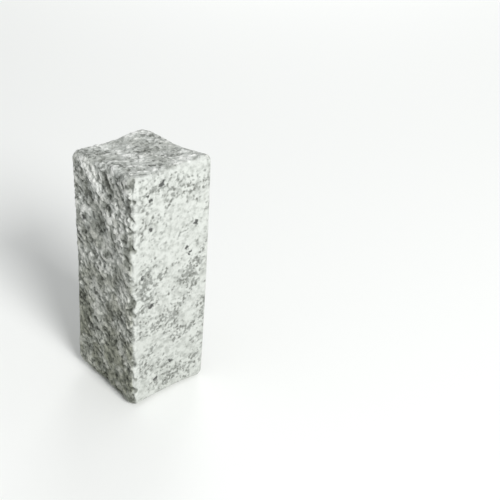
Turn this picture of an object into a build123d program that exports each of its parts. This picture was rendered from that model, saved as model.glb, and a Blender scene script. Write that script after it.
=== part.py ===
"""Granite palisade: one hand-split stone stake, stood on end.

A bar of grey granite is split with wedges to its section and to its length.
No split runs quite true: each face is hollow and slightly rippled, the arrises
stand proud between the hollows, and no two corners are alike. The arrises are
then knocked off, and the foot is dressed flat in the middle to stand on.
The origin is the middle of the bed, and the stone stands along +Z, with its
coarse split face on the left (-X) and its fine pale one in front (-Y).
"""

import math
import os

from build123d import *

# Overall size, in millimetres: widths run along X and depths along Y, from corner to corner.
stone_length = 330.0
foot_width = 114.0
foot_depth = 115.0
head_width = 106.0
head_depth = 109.0

# The four arrises, in turn round the stone, seen from above.
corner_sides = {"left_front": (-1, -1), "right_front": (1, -1), "right_back": (1, 1), "left_back": (-1, 1)}

# How far each corner strays from its place in a true bar, along X and Y.
head_stray = {
    "left_front": (3.0, 1.0),
    "right_front": (4.0, -1.5),
    "right_back": (-5.0, 1.0),
    "left_back": (-3.0, -2.0),
}
foot_stray = {
    "left_front": (5.0, 2.0),
    "right_front": (2.0, -1.0),
    "right_back": (-1.0, 0.0),
    "left_back": (-2.0, 1.0),
}

# How far each corner of the head stands below the highest one, and each of the foot above the bed.
head_drop = {"left_front": 0.0, "right_front": 3.0, "right_back": 13.5, "left_back": 9.5}
foot_rise = {"left_front": 2.5, "right_front": 0.0, "right_back": 0.5, "left_back": 10.0}

# Each side face: how deep its hollow is, the long ripples of the split, and the flakes across them.
# A slant is how many waves a ripple or a flake moves on, from the middle of the face to an arris.
# The long ripples also bend the rows of flakes, by this share of a wave.
face_hollow = {"front": 2.5, "right": 3.5, "back": 3.0, "left": 3.0}
ripple_height = {"front": 0.5, "right": 1.2, "back": 1.1, "left": 1.3}
ripple_length = {"front": 150.0, "right": 110.0, "back": 125.0, "left": 100.0}
ripple_slant = {"front": 0.2, "right": -0.35, "back": 0.3, "left": 0.45}
flake_height = {"front": 0.2, "right": 0.7, "back": 0.7, "left": 1.2}
flake_length = {"front": 75.0, "right": 62.0, "back": 68.0, "left": 56.0}
flake_slant = {"front": -0.6, "right": 0.7, "back": -0.6, "left": 1.2}
flake_bend = 0.25

# How far each arris comes in, halfway up.
arris_waist = {"left_front": 1.5, "right_front": -1.0, "right_back": 2.5, "left_back": 2.0}

# The ends: how far the edges along X and along Y fall back into the stone between their corners,
# and how far the middle stands out of it again. The bed is dressed on the middle of the foot.
head_sag_x = 2.5
head_sag_y = 2.5
head_crown = 2.0
foot_sag_x = 3.0
foot_sag_y = 1.0
foot_crown = 10.0

arris_break = 3.5  # what is knocked off each side of an arris
corner_break = 6.5  # how deep each corner's tip is struck off

# How finely the split faces are drawn.
station_count = 37
points_across = 11
end_grid = 5
over_length = 15.0  # the bar runs this far past each end before it is split to length
end_overrun = 1.25  # the splits to length reach this many half widths from the middle


def between(low, high, share):
    """The value that lies a share of the way from low to high."""
    return low + (high - low) * share


def arris_at(corner, height):
    """Where an arris is, at a height above the bed."""
    share = height / stone_length
    side_x, side_y = corner_sides[corner]
    waist = arris_waist[corner] * (1 - (2 * share - 1) ** 2)
    width = between(foot_width, head_width, share)
    depth = between(foot_depth, head_depth, share)
    stray_x = between(foot_stray[corner][0], head_stray[corner][0], share)
    stray_y = between(foot_stray[corner][1], head_stray[corner][1], share)
    return side_x * (width / 2 - waist) + stray_x, side_y * (depth / 2 - waist) + stray_y


# Each side face: the arris it starts from, the one it ends at, and the way into the stone.
faces_round = {
    "front": ("left_front", "right_front", (0, 1)),
    "right": ("right_front", "right_back", (-1, 0)),
    "back": ("right_back", "left_back", (0, -1)),
    "left": ("left_back", "left_front", (1, 0)),
}


shares_across = [step / (points_across - 1) for step in range(points_across)]


def face_line(face, height):
    """The points of a side face at one height, from arris to arris."""
    start, end, inward = faces_round[face]
    x0, y0 = arris_at(start, height)
    x1, y1 = arris_at(end, height)
    points = []
    for share in shares_across:
        across = 2 * share - 1
        ripple = math.sin(2 * math.pi * (height / ripple_length[face] + ripple_slant[face] * across))
        flake_turns = height / flake_length[face] + flake_slant[face] * across + flake_bend * ripple
        flake = math.sin(2 * math.pi * flake_turns)
        waves = ripple_height[face] * ripple + flake_height[face] * flake
        depth = (1 - across**2) * (face_hollow[face] + waves)
        points.append((between(x0, x1, share) + inward[0] * depth, between(y0, y1, share) + inward[1] * depth))
    return points


def end_face(level, width, depth, corner_shift, sag_x, sag_y, crown):
    """The surface of a split to length: it passes a true corner at level, and each real one shifted."""
    rows = []
    for row in range(end_grid):
        v = end_overrun * (2 * row / (end_grid - 1) - 1)
        line = []
        for column in range(end_grid):
            u = end_overrun * (2 * column / (end_grid - 1) - 1)
            z = level + sag_x * (1 - u**2) + sag_y * (1 - v**2) + crown * (1 - u**2) * (1 - v**2)
            for corner, (side_x, side_y) in corner_sides.items():
                z += corner_shift[corner] * (1 + side_x * u) * (1 + side_y * v) / 4
            line.append((u * width / 2, v * depth / 2, z))
        rows.append(line)
    return Face.make_surface_from_array_of_points(rows)


def corner_tips():
    """Each corner as the splits leave it, with the direction out of the stone there."""
    tips = []
    for corner, (side_x, side_y) in corner_sides.items():
        for side_z, level in ((1, stone_length - head_drop[corner]), (-1, foot_rise[corner])):
            outward = Vector(side_x, side_y, side_z).normalized()
            tips.append((Vector(*arris_at(corner, level), level), outward))
    return tips


head_shift = {corner: -drop for corner, drop in head_drop.items()}
head = end_face(stone_length, head_width, head_depth, head_shift, -head_sag_x, -head_sag_y, head_crown)
foot = end_face(0, foot_width, foot_depth, foot_rise, foot_sag_x, foot_sag_y, -foot_crown)

with BuildPart() as palisade:
    for station in range(station_count):
        height = between(-over_length, stone_length + over_length, station / (station_count - 1))
        with BuildSketch(Plane.XY.offset(height)):
            with BuildLine():
                for face in faces_round:
                    add(Edge.make_spline(face_line(face, height), parameters=shares_across))
            make_face()
    loft()
    split(bisect_by=head, keep=Keep.TOP)
    split(bisect_by=foot, keep=Keep.BOTTOM)
    chamfer(palisade.edges(), length=arris_break)
    for tip, outward in corner_tips():
        split(bisect_by=Plane(tip - outward * corner_break, z_dir=outward), keep=Keep.BOTTOM)
    split(bisect_by=Plane.XY, keep=Keep.TOP)

palisade.part.label = "palisade"
os.makedirs("parts", exist_ok=True)
export_step(palisade.part, "parts/palisade.step")
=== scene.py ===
"""Looks of the granite palisade: the coarse split faces, the ragged arrises and the speckled granite.

Everything is in metres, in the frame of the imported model.
"""

import math

import bmesh
import bpy
from mathutils import Matrix, Vector, noise
from mathutils.bvhtree import BVHTree


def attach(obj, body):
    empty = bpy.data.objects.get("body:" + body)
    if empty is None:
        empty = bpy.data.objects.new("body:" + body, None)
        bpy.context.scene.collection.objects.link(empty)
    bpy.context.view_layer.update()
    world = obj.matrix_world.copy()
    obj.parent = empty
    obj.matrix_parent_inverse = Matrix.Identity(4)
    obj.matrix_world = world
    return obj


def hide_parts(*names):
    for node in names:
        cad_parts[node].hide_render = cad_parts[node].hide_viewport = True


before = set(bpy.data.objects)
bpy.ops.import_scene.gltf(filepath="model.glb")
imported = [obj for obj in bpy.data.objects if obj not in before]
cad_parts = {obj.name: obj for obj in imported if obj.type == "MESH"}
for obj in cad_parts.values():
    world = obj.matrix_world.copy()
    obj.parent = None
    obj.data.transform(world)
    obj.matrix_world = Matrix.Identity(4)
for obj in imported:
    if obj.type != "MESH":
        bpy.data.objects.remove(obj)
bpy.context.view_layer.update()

# Granite palisade: one stake of grey granite, split with wedges on all six sides.
# The left, right and back faces broke coarsely, in slanting flakes; the front broke finely.
# The arrises were knocked off with a hammer: all are bruised white, and the front left ones are ragged.
millimetre = 0.001
grid_width = 1.4 * millimetre
merge_distance = 0.01 * millimetre

stone_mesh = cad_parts["palisade"].data.copy()
stone_mesh.name = "granite_palisade"
shape = bmesh.new()
shape.from_mesh(stone_mesh)
bmesh.ops.remove_doubles(shape, verts=shape.verts, dist=merge_distance)
shape.to_mesh(stone_mesh)
shape.free()
stone_mesh.materials.clear()
stone = bpy.data.objects.new("granite_palisade", stone_mesh)
bpy.context.scene.collection.objects.link(stone)

# The solid's facets are too large to carry the break, so an even grid takes their place.
remesh = stone.modifiers.new("even grid", "REMESH")
remesh.mode = "VOXEL"
remesh.voxel_size = grid_width
remesh.use_smooth_shade = True
stone.data = bpy.data.meshes.new_from_object(stone.evaluated_get(bpy.context.evaluated_depsgraph_get()))
stone.modifiers.clear()

# Each face of the break: the slant of its rows of flakes in degrees, the heights in millimetres of the
# broad flakes, of the narrow ones, of the broken crystals and of the fine grain, and a seed.
face_breaks = {
    "left": {"slant": -52, "broad": 1.1, "narrow": 1.2, "facet": 1.5, "fine": 0.8, "seed": 3.0},
    "right": {"slant": -35, "broad": 1.1, "narrow": 1.0, "facet": 1.3, "fine": 0.8, "seed": 11.0},
    "front": {"slant": 42, "broad": 0.3, "narrow": 0.25, "facet": 0.2, "fine": 0.1, "seed": 27.0},
    "back": {"slant": -58, "broad": 1.1, "narrow": 1.0, "facet": 1.3, "fine": 0.8, "seed": 19.0},
    "head": {"slant": -30, "broad": 0.9, "narrow": 0.35, "facet": 0.7, "fine": 0.5, "seed": 35.0},
    "foot": {"slant": 20, "broad": 0.6, "narrow": 0.5, "facet": 0.5, "fine": 0.4, "seed": 43.0},
}

# How long a flake is along its row and how wide across it, and the same of a broken crystal.
broad_flake = (36.0, 17.0)
narrow_flake = (12.0, 7.5)
broken_crystal = (6.0, 5.0)
fine_grain = 2.8
broad_seed = 60.0  # added to a face's seed, so that its broad flakes don't follow its narrow ones
tilt_seed = 2  # for the tilts of the broken crystals


def step_up(low, high, value):
    """0 below low, 1 above high, and a smooth rise between."""
    share = min(max((value - low) / (high - low), 0.0), 1.0)
    return share * share * (3 - 2 * share)


def along_split(across, along, slant):
    """A place on a face as two lengths: along the slanting rows of flakes, and across them."""
    slant = math.radians(slant)
    run = across * math.cos(slant) + along * math.sin(slant)
    rise = along * math.cos(slant) - across * math.sin(slant)
    return run, rise


def ridges(run, rise, seed, length, width):
    """Sharp crests and round hollows along the rows of flakes, mostly from -0.5 to 0.7."""
    bend = noise.noise(Vector((run / 30, rise / 30, seed + 7.3))) * 10
    place = Vector((run / length, (rise + bend) / width, seed))
    return 0.7 - 2.2 * abs(noise.noise(place)) + 0.45 * noise.noise(place * 2.3)


def facets(run, rise, seed, length, width):
    """Broken crystals: flat facets that each tilt their own way, mostly from -0.7 to 0.7."""
    place = Vector((run / length, rise / width, seed))
    crystal = noise.voronoi(place)[1][0]
    tilt = noise.noise_vector(crystal * 3.7)
    return (place - crystal).dot(tilt) * 2.4 + 0.5 * tilt.z


def break_height(place, facing):
    """How far the break stands out at a place, blended over the faces that the stone turns between there."""
    total = 0.0
    for face, weight, across, along in (
        ("left", facing.x**2 if facing.x < 0 else 0.0, -place.y, place.z),
        ("right", facing.x**2 if facing.x > 0 else 0.0, place.y, place.z),
        ("front", facing.y**2 if facing.y < 0 else 0.0, place.x, place.z),
        ("back", facing.y**2 if facing.y > 0 else 0.0, -place.x, place.z),
        ("head", facing.z**2 if facing.z > 0 else 0.0, place.x, place.y),
        ("foot", facing.z**2 if facing.z < 0 else 0.0, place.x, place.y),
    ):
        if weight < 0.01:
            continue
        split = face_breaks[face]
        run, rise = along_split(across, along, split["slant"])
        height = split["broad"] * ridges(run, rise, split["seed"] + broad_seed, *broad_flake)
        height += split["narrow"] * ridges(run, rise, split["seed"], *narrow_flake)
        height += split["facet"] * facets(run, rise, split["seed"], *broken_crystal)
        total += weight * (height + split["fine"] * noise.noise(place / fine_grain))
    return total


# The head has a hump near its right back corner, whose tip is struck low, a shallow dip at its right edge
# and two low rises on the left. Each has its place across the head, how far it reaches, and its height.
head_lumps = (
    (28.0, 42.0, 30.0, 2.2),
    (54.0, 54.0, 18.0, -4.8),
    (-24.0, 48.0, 22.0, 0.5),
    (52.0, -8.0, 24.0, -1.0),
    (-20.0, -10.0, 28.0, 1.0),
)
head_starts = 260.0
head_full = 310.0


def head_lump(place):
    """How far the head is raised or struck down at a place."""
    lump = 0.0
    for x, y, reach, height in head_lumps:
        away = ((place.x - x) ** 2 + (place.y - y) ** 2) / reach**2
        lump += step_up(head_starts, head_full, place.z) * height * math.exp(-2 * away)
    return lump


# The front left arris is bitten back to the right, and a little toward the back.
# The bites lean about as the left face's flakes do.
bite_lean = 1.2
bite_backward = 0.3
small_bite = 9.0
small_bite_depth = 4.2
big_bite = 19.0
big_bite_depth = 3.0


def arris_bite(place):
    """How far a bite goes into the stone, before it fades out beside the front left arris."""
    leaning = Vector((place.x, place.y, place.z - bite_lean * place.y))
    bite = max(0.0, noise.noise(leaning / small_bite + Vector((5.0, 0.0, 0.0))) + 0.02) * small_bite_depth
    bite += max(0.0, noise.noise(leaning / big_bite + Vector((0.0, 9.0, 0.0)))) * big_bite_depth
    return bite


# Chips are knocked off the front left arris and off the head's front and left edges.
small_chip = 7.0
small_chip_depth = 3.5
big_chip = 15.0
big_chip_depth = 3.0


def arris_chip(place):
    """How deep the hammer's chips are at a place, before they fade out away from the arrises."""
    chip = max(0.0, noise.noise(place / small_chip) + 0.1) * small_chip_depth
    return chip + max(0.0, noise.noise(place / big_chip)) * big_chip_depth


# Half the width and length of a true bar about as big as the stone, to tell how near a place is to an edge.
half_width = 57.0
half_length = 164.0

# How far from an arris each effect starts to fade and how far from it the effect is gone, in millimetres.
calm_band = (1.0, 14.0)
ragged_band = (1.0, 10.0)
bite_band = (2.0, 9.0)
struck_band = (4.0, 13.0)
unbruised_depth = (0.5, 1.5)  # a bite this deep starts to lose its bruise, and has lost it
crest_span = 3.2  # the material tells the heights of the break apart over this much, and no further
smoothing_passes = 6

relief = bmesh.new()
relief.from_mesh(stone.data)
for _ in range(smoothing_passes):
    bmesh.ops.smooth_vert(
        relief, verts=relief.verts, factor=0.5, use_axis_x=True, use_axis_y=True, use_axis_z=True
    )
relief.normal_update()

# The front left arris as a straight line, between the outermost points low and high on it.
arris_foot, arris_head = (
    max(
        (vert.co for vert in relief.verts if low < vert.co.z / millimetre < high),
        key=lambda point: -point.x - point.y,
    )
    / millimetre
    for low, high in ((30.0, 40.0), (290.0, 300.0))
)

# Three values go to the material with each point: how bruised it is, how high it stands on the break,
# and how coarse the break is there.
bruise_layer = relief.verts.layers.float.new("bruise")
crest_layer = relief.verts.layers.float.new("crest")
coarse_layer = relief.verts.layers.float.new("coarse")
noise.seed_set(tilt_seed)
moves = []
for vert in relief.verts:
    place = vert.co / millimetre
    facing = vert.normal
    to_front = step_up(0.5, 0.9, -facing.y)
    to_head = step_up(0.5, 0.9, facing.z)
    rising = step_up(0.2, 0.6, facing.z)
    on_edge = step_up(0.03, 0.25, 1 - max(abs(facing.x), abs(facing.y), abs(facing.z)))

    depths = sorted(
        (half_width - abs(place.x), half_width - abs(place.y), half_length - abs(place.z - half_length))
    )
    near_edge = 1 - step_up(*calm_band, depths[1])
    front_depths = sorted((half_width + place.x, half_width + place.y, 2 * half_length - place.z))
    near_ragged_edge = 1 - step_up(*ragged_band, front_depths[1])
    arris = arris_foot.lerp(arris_head, (place.z - arris_foot.z) / (arris_head.z - arris_foot.z))
    from_arris = math.hypot(place.x - arris.x, place.y - arris.y)
    beside_arris = 1 - step_up(*bite_band, from_arris)
    ragged = max(beside_arris, near_ragged_edge)

    rough = break_height(place, facing)
    calm = 1 - 0.9 * near_edge * (1 - ragged)
    chip = arris_chip(place) * (on_edge * ragged * (1 - 0.3 * rising))
    bite = arris_bite(place) * beside_arris
    struck = (1 - step_up(*struck_band, from_arris)) * to_front
    bruising = max(on_edge * (1 - 0.6 * rising), 0.9 * struck)
    vert[bruise_layer] = bruising * (1 - step_up(*unbruised_depth, bite))
    vert[crest_layer] = min(max(0.5 + (rough - 0.5 * bite) / crest_span, 0.0), 1.0)
    vert[coarse_layer] = 1 - 0.85 * to_front - 0.45 * to_head
    struck_in = Vector((bite, bite_backward * bite, head_lump(place)))
    moves.append((facing * (rough * calm - chip) + struck_in) * millimetre)
for vert, move in zip(relief.verts, moves):
    vert.co += move
    vert.co.z = max(vert.co.z, 0.0)
surface = BVHTree.FromBMesh(relief)
relief.to_mesh(stone.data)
relief.free()
stone.data.shade_smooth()


def colour(hex_code):
    """A colour given in sRGB, as the linear values that a shader takes."""
    parts = [int(hex_code[i : i + 2], 16) / 255 for i in (0, 2, 4)]
    return (*(p / 12.92 if p <= 0.04045 else ((p + 0.055) / 1.055) ** 2.4 for p in parts), 1.0)


def add_node(tree, kind, settings, inputs):
    """One node with its settings, and its inputs as values or as sockets to link from."""
    node = tree.nodes.new(kind)
    for name, value in settings.items():
        setattr(node, name, value)
    for name, value in inputs.items():
        if isinstance(value, bpy.types.NodeSocket):
            tree.links.new(value, node.inputs[name])
        else:
            node.inputs[name].default_value = value
    return node.outputs


# Split granite: pale feldspar and grey quartz crystals 4 to 7 mm across, with specks of dark mica.
# Broken crystals are matt and catch the light one by one. The crests of the break are painted white, partly
# crushed crystal and partly painted highlight;
# the hollows are painted darker, partly dust and partly painted shade; and the coarse faces are painted
# darker toward the foot.
crystal_size = 4.2 * millimetre
wander_size = 4 * millimetre
crystal_wander = 5 * millimetre
grain_wander = 8.5 * millimetre
mottle_size = 6.5 * millimetre
fleck_size = 4.5 * millimetre
cluster_size = 20 * millimetre
cluster_stretch = 1.9
cluster_slant = 42
bed_size = 26 * millimetre
foot_darkening_top = 310 * millimetre
grit_size = 1.5 * millimetre
grit_depth = 1.2 * millimetre

granite = bpy.data.materials.new("split_granite")
granite.use_nodes = True
tree = granite.node_tree
tree.nodes.clear()
place = add_node(tree, "ShaderNodeTexCoord", {}, {})["Object"]
coarse = add_node(tree, "ShaderNodeAttribute", {"attribute_name": "coarse"}, {})["Fac"]
crest = add_node(tree, "ShaderNodeAttribute", {"attribute_name": "crest"}, {})["Fac"]
bruise = add_node(tree, "ShaderNodeAttribute", {"attribute_name": "bruise"}, {})["Fac"]

# The sides of the crystals are ragged, so their pattern is read at places that wander a little.
wander = add_node(
    tree, "ShaderNodeTexNoise", {}, {"Vector": place, "Scale": 1 / wander_size, "Detail": 2.0}
)["Color"]
wander_centred = add_node(
    tree, "ShaderNodeVectorMath", {"operation": "SUBTRACT"}, {0: wander, 1: (0.5, 0.5, 0.5)}
)["Vector"]
wandered = add_node(
    tree,
    "ShaderNodeVectorMath",
    {"operation": "MULTIPLY_ADD"},
    {0: wander_centred, 1: (crystal_wander,) * 3, 2: place},
)["Vector"]
far_wandered = add_node(
    tree,
    "ShaderNodeVectorMath",
    {"operation": "MULTIPLY_ADD"},
    {0: wander_centred, 1: (grain_wander,) * 3, 2: place},
)["Vector"]

# Feldspar and quartz: pale crystals and soft grey ones.
crystals = add_node(tree, "ShaderNodeTexVoronoi", {}, {"Vector": wandered, "Scale": 1 / crystal_size})
mottle = add_node(
    tree,
    "ShaderNodeTexNoise",
    {},
    {"Vector": place, "Scale": 1 / mottle_size, "Detail": 4.0, "Roughness": 0.6},
)["Fac"]
quartz = add_node(
    tree,
    "ShaderNodeMapRange",
    {"interpolation_type": "SMOOTHSTEP"},
    {"Value": mottle, "From Min": 0.40, "From Max": 0.70},
)["Result"]
body = add_node(
    tree, "ShaderNodeMix", {"data_type": "RGBA"}, {0: quartz, 6: colour("c6c9c4"), 7: colour("a8aba6")}
)[2]

# Mica: soft grey flecks and dark grains of about 3 mm, in clusters that slant as the front's flakes do.
slanted = add_node(
    tree,
    "ShaderNodeMapping",
    {"vector_type": "TEXTURE"},
    {
        "Vector": place,
        "Rotation": (0.0, -math.radians(cluster_slant), 0.0),
        "Scale": (cluster_stretch, 1.0, 1.0),
    },
)["Vector"]
clusters = add_node(
    tree, "ShaderNodeTexNoise", {}, {"Vector": slanted, "Scale": 1 / cluster_size, "Detail": 2.0}
)["Fac"]
flecks = add_node(
    tree, "ShaderNodeTexNoise", {}, {"Vector": place, "Scale": 1 / fleck_size, "Detail": 1.0}
)["Fac"]
crowded = add_node(
    tree, "ShaderNodeMath", {"operation": "MULTIPLY_ADD"}, {0: clusters, 1: 0.75, 2: flecks}
)["Value"]
grey_mica = add_node(
    tree,
    "ShaderNodeMapRange",
    {"interpolation_type": "SMOOTHSTEP"},
    {"Value": crowded, "From Min": 0.88, "From Max": 1.10, "To Max": 0.85},
)["Result"]
flecked = add_node(
    tree, "ShaderNodeMix", {"data_type": "RGBA"}, {0: grey_mica, 6: body, 7: colour("7e817c")}
)[2]
crystal_draw = add_node(tree, "ShaderNodeSeparateColor", {}, {"Color": crystals["Color"]})["Red"]
drawn = add_node(
    tree, "ShaderNodeMath", {"operation": "MULTIPLY_ADD"}, {0: crystal_draw, 1: 0.4, 2: clusters}
)["Value"]
is_mica = add_node(
    tree, "ShaderNodeMapRange", {}, {"Value": drawn, "From Min": 0.80, "From Max": 0.86, "To Max": 0.85}
)["Result"]
in_grain = add_node(
    tree,
    "ShaderNodeMapRange",
    {"interpolation_type": "SMOOTHSTEP"},
    {"Value": crystals["Distance"], "From Min": 0.18, "From Max": 0.62, "To Min": 1.0, "To Max": 0.0},
)["Result"]
dark_mica = add_node(tree, "ShaderNodeMath", {"operation": "MULTIPLY"}, {0: is_mica, 1: in_grain})["Value"]
speckled = add_node(
    tree, "ShaderNodeMix", {"data_type": "RGBA"}, {0: dark_mica, 6: flecked, 7: colour("63655f")}
)[2]

# Big black grains: the few that the eye picks out, each with its place and radius in millimetres.
# Each is moved to the nearest point of the break.
big_grains = (
    (-8.6, -55.0, 312.0, 4.0),
    (37.9, -54.0, 247.5, 3.6),
    (-23.7, -54.0, 258.9, 3.4),
    (-34.1, -54.0, 197.3, 3.0),
    (-22.5, -54.0, 152.6, 3.4),
    (6.7, -56.0, 51.2, 3.0),
    (-14.9, -56.0, 32.6, 3.4),
    (27.0, -54.0, 216.0, 2.8),
    (31.0, -54.0, 208.0, 2.8),
    (-28.0, -54.0, 303.0, 2.4),
    (-24.0, -54.0, 296.0, 2.4),
    (-55.0, 35.0, 241.0, 3.6),
    (40.0, 58.0, 120.0, 3.4),
    (-22.0, 58.0, 214.0, 3.0),
    (57.0, 12.0, 268.0, 3.4),
    (57.0, -20.0, 92.0, 3.0),
)
for x, y, z, radius in big_grains:
    middle = surface.find_nearest(Vector((x, y, z)) * millimetre)[0]
    from_middle = add_node(
        tree, "ShaderNodeVectorMath", {"operation": "DISTANCE"}, {0: far_wandered, 1: middle}
    )["Value"]
    black_mica = add_node(
        tree,
        "ShaderNodeMapRange",
        {"interpolation_type": "SMOOTHSTEP"},
        {
            "Value": from_middle,
            "From Min": radius * 0.6 * millimetre,
            "From Max": radius * 1.3 * millimetre,
            "To Min": 0.9,
            "To Max": 0.0,
        },
    )["Result"]
    speckled = add_node(
        tree, "ShaderNodeMix", {"data_type": "RGBA"}, {0: black_mica, 6: speckled, 7: colour("333432")}
    )[2]

# Painted shade in the hollows of the break, partly dust, and a painted highlight on its crests, partly
# crushed crystal; then the patchy white bruise along the arrises.
# Painted shade, partly dust: the low places of the break are painted darker.
hollow_shade_and_dust_mask = add_node(
    tree,
    "ShaderNodeMapRange",
    {"interpolation_type": "SMOOTHSTEP"},
    {"Value": crest, "From Min": 0.15, "From Max": 0.55, "To Min": 0.72, "To Max": 0.0},
)["Result"]
hollow_shade_and_dust = add_node(
    tree,
    "ShaderNodeMix",
    {"data_type": "RGBA", "blend_type": "MULTIPLY"},
    {0: hollow_shade_and_dust_mask, 6: speckled, 7: colour("76786d")},
)[2]
# Painted highlight, partly crushed crystal: the high places of the break are painted white.
crest_highlight_and_crush_mask = add_node(
    tree,
    "ShaderNodeMapRange",
    {"interpolation_type": "SMOOTHSTEP"},
    {"Value": crest, "From Min": 0.62, "From Max": 0.88, "To Max": 0.85},
)["Result"]
crest_highlight_and_crush = add_node(
    tree, "ShaderNodeMix", {"data_type": "RGBA"}, {0: crest_highlight_and_crush_mask, 6: hollow_shade_and_dust, 7: colour("f0f1ed")}
)[2]
patchy_bruise = add_node(tree, "ShaderNodeMath", {"operation": "MULTIPLY"}, {0: bruise, 1: mottle})["Value"]
bruised = add_node(
    tree, "ShaderNodeMix", {"data_type": "RGBA"}, {0: patchy_bruise, 6: crest_highlight_and_crush, 7: colour("d8dbd6")}
)[2]

# Darker beds of the rock, and a darkening that is strongest at the foot and fades out up the stone. Both are
# kept off the fine front face, so the coarse faces are painted darker than it: partly the rock's own tone,
# partly painted shade.
beds = add_node(
    tree, "ShaderNodeTexNoise", {}, {"Vector": place, "Scale": 1 / bed_size, "Detail": 3.0}
)["Fac"]
dark_bed = add_node(
    tree,
    "ShaderNodeMapRange",
    {"interpolation_type": "SMOOTHSTEP"},
    {"Value": beds, "From Min": 0.42, "From Max": 0.60, "To Max": 0.4},
)["Result"]
height_up = add_node(tree, "ShaderNodeSeparateXYZ", {}, {"Vector": place})["Z"]
# Darker toward the foot, fading out up the stone.
foot_darkening = add_node(
    tree,
    "ShaderNodeMapRange",
    {},
    {"Value": height_up, "From Min": 0.0, "From Max": foot_darkening_top, "To Min": 0.80, "To Max": 0.0},
)["Result"]
beds_and_foot_darkening = add_node(tree, "ShaderNodeMath", {"operation": "ADD"}, {0: dark_bed, 1: foot_darkening})["Value"]
coarse_darkening_mask = add_node(
    tree, "ShaderNodeMath", {"operation": "MULTIPLY", "use_clamp": True}, {0: beds_and_foot_darkening, 1: coarse}
)["Value"]
coarse_darkened = add_node(
    tree,
    "ShaderNodeMix",
    {"data_type": "RGBA", "blend_type": "MULTIPLY"},
    {0: coarse_darkening_mask, 6: bruised, 7: colour("a4a599")},
)[2]

# The grit of the break, drawn at 1.5 mm because real grit would be too fine to show.
grit = add_node(
    tree, "ShaderNodeTexNoise", {}, {"Vector": place, "Scale": 1 / grit_size, "Detail": 3.0}
)["Fac"]
chipped = add_node(
    tree, "ShaderNodeMath", {"operation": "MULTIPLY_ADD"}, {0: crystals["Distance"], 1: -1.2, 2: grit}
)["Value"]
grit_height = add_node(tree, "ShaderNodeMath", {"operation": "MULTIPLY"}, {0: chipped, 1: coarse})["Value"]
bump = add_node(
    tree, "ShaderNodeBump", {}, {"Height": grit_height, "Strength": 1.0, "Distance": grit_depth}
)["Normal"]
shader = add_node(
    tree,
    "ShaderNodeBsdfPrincipled",
    {},
    {"Base Color": coarse_darkened, "Roughness": 0.8, "IOR": 1.5, "Normal": bump},
)["BSDF"]
add_node(tree, "ShaderNodeOutputMaterial", {}, {"Surface": shader})
stone.data.materials.append(granite)

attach(stone, "root")
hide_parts("palisade")


# Floor: a plain pale sheet of board, painted matt white and wide enough to fill the view.
# Matt paint gives no glints, only an even white with a soft shadow on it.
floor_half_side = 12.0
floor_mesh = bpy.data.meshes.new("floor")
floor_shape = bmesh.new()
bmesh.ops.create_grid(floor_shape, x_segments=1, y_segments=1, size=floor_half_side)
floor_shape.to_mesh(floor_mesh)
floor_shape.free()
floor = bpy.data.objects.new("floor", floor_mesh)
bpy.context.scene.collection.objects.link(floor)
paint = bpy.data.materials.new("matt_white_paint")
paint.use_nodes = True
paint_shader = paint.node_tree.nodes["Principled BSDF"]
paint_shader.inputs["Base Color"].default_value = colour("f2f3f1")
paint_shader.inputs["Roughness"].default_value = 0.9
floor_mesh.materials.append(paint)

# Light: a big soft lamp, high in front, that only grazes the left face, and a weaker one low behind
# on the right. An even pale sky fills the shadows.
stone_middle = Vector((0.0, 0.0, 0.16))
for name, lamp_place, width, power in (
    ("key lamp", Vector((-0.36, -3.90, 3.05)), 2.1, 232),
    ("fill lamp", Vector((2.6, 2.5, 1.1)), 2.0, 50),
):
    light = bpy.data.lights.new(name, "AREA")
    light.shape = "DISK"
    light.size = width
    light.energy = power
    lamp = bpy.data.objects.new(name, light)
    lamp.location = lamp_place
    lamp.rotation_euler = (stone_middle - lamp_place).to_track_quat("-Z", "Y").to_euler()
    bpy.context.scene.collection.objects.link(lamp)

sky = bpy.data.worlds.new("sky")
sky.use_nodes = True
sky_shader = sky.node_tree.nodes["Background"]
sky_shader.inputs["Color"].default_value = colour("f4f6f7")
sky_shader.inputs["Strength"].default_value = 0.45
bpy.context.scene.world = sky
bpy.context.scene.view_settings.view_transform = "Standard"

# Camera: a fairly long lens above the front left arris, looking down at 37 degrees.
# It is shifted so that the stone stands left of the middle of the square picture.
view_azimuth = math.radians(-36.3)
view_elevation = math.radians(37.1)
view_distance = 978 * millimetre
look_at = Vector((0.0, 0.0, 164 * millimetre))
picture_side = 500
focal_pixels = 815.5
stone_pixel = (139.5, 269.0)

back = Vector(
    (
        math.sin(view_azimuth) * math.cos(view_elevation),
        -math.cos(view_azimuth) * math.cos(view_elevation),
        math.sin(view_elevation),
    )
)
right = Vector((math.cos(view_azimuth), math.sin(view_azimuth), 0.0))
turn = Matrix((right, back.cross(right), back)).transposed().to_4x4()
lens = bpy.data.cameras.new("long lens")
lens.sensor_width = 36.0
lens.lens = focal_pixels / picture_side * lens.sensor_width
lens.shift_x = (picture_side / 2 - stone_pixel[0]) / picture_side
lens.shift_y = (stone_pixel[1] - picture_side / 2) / picture_side
camera = bpy.data.objects.new("camera", lens)
camera.matrix_world = Matrix.Translation(look_at + back * view_distance) @ turn
bpy.context.scene.collection.objects.link(camera)
bpy.context.scene.camera = camera
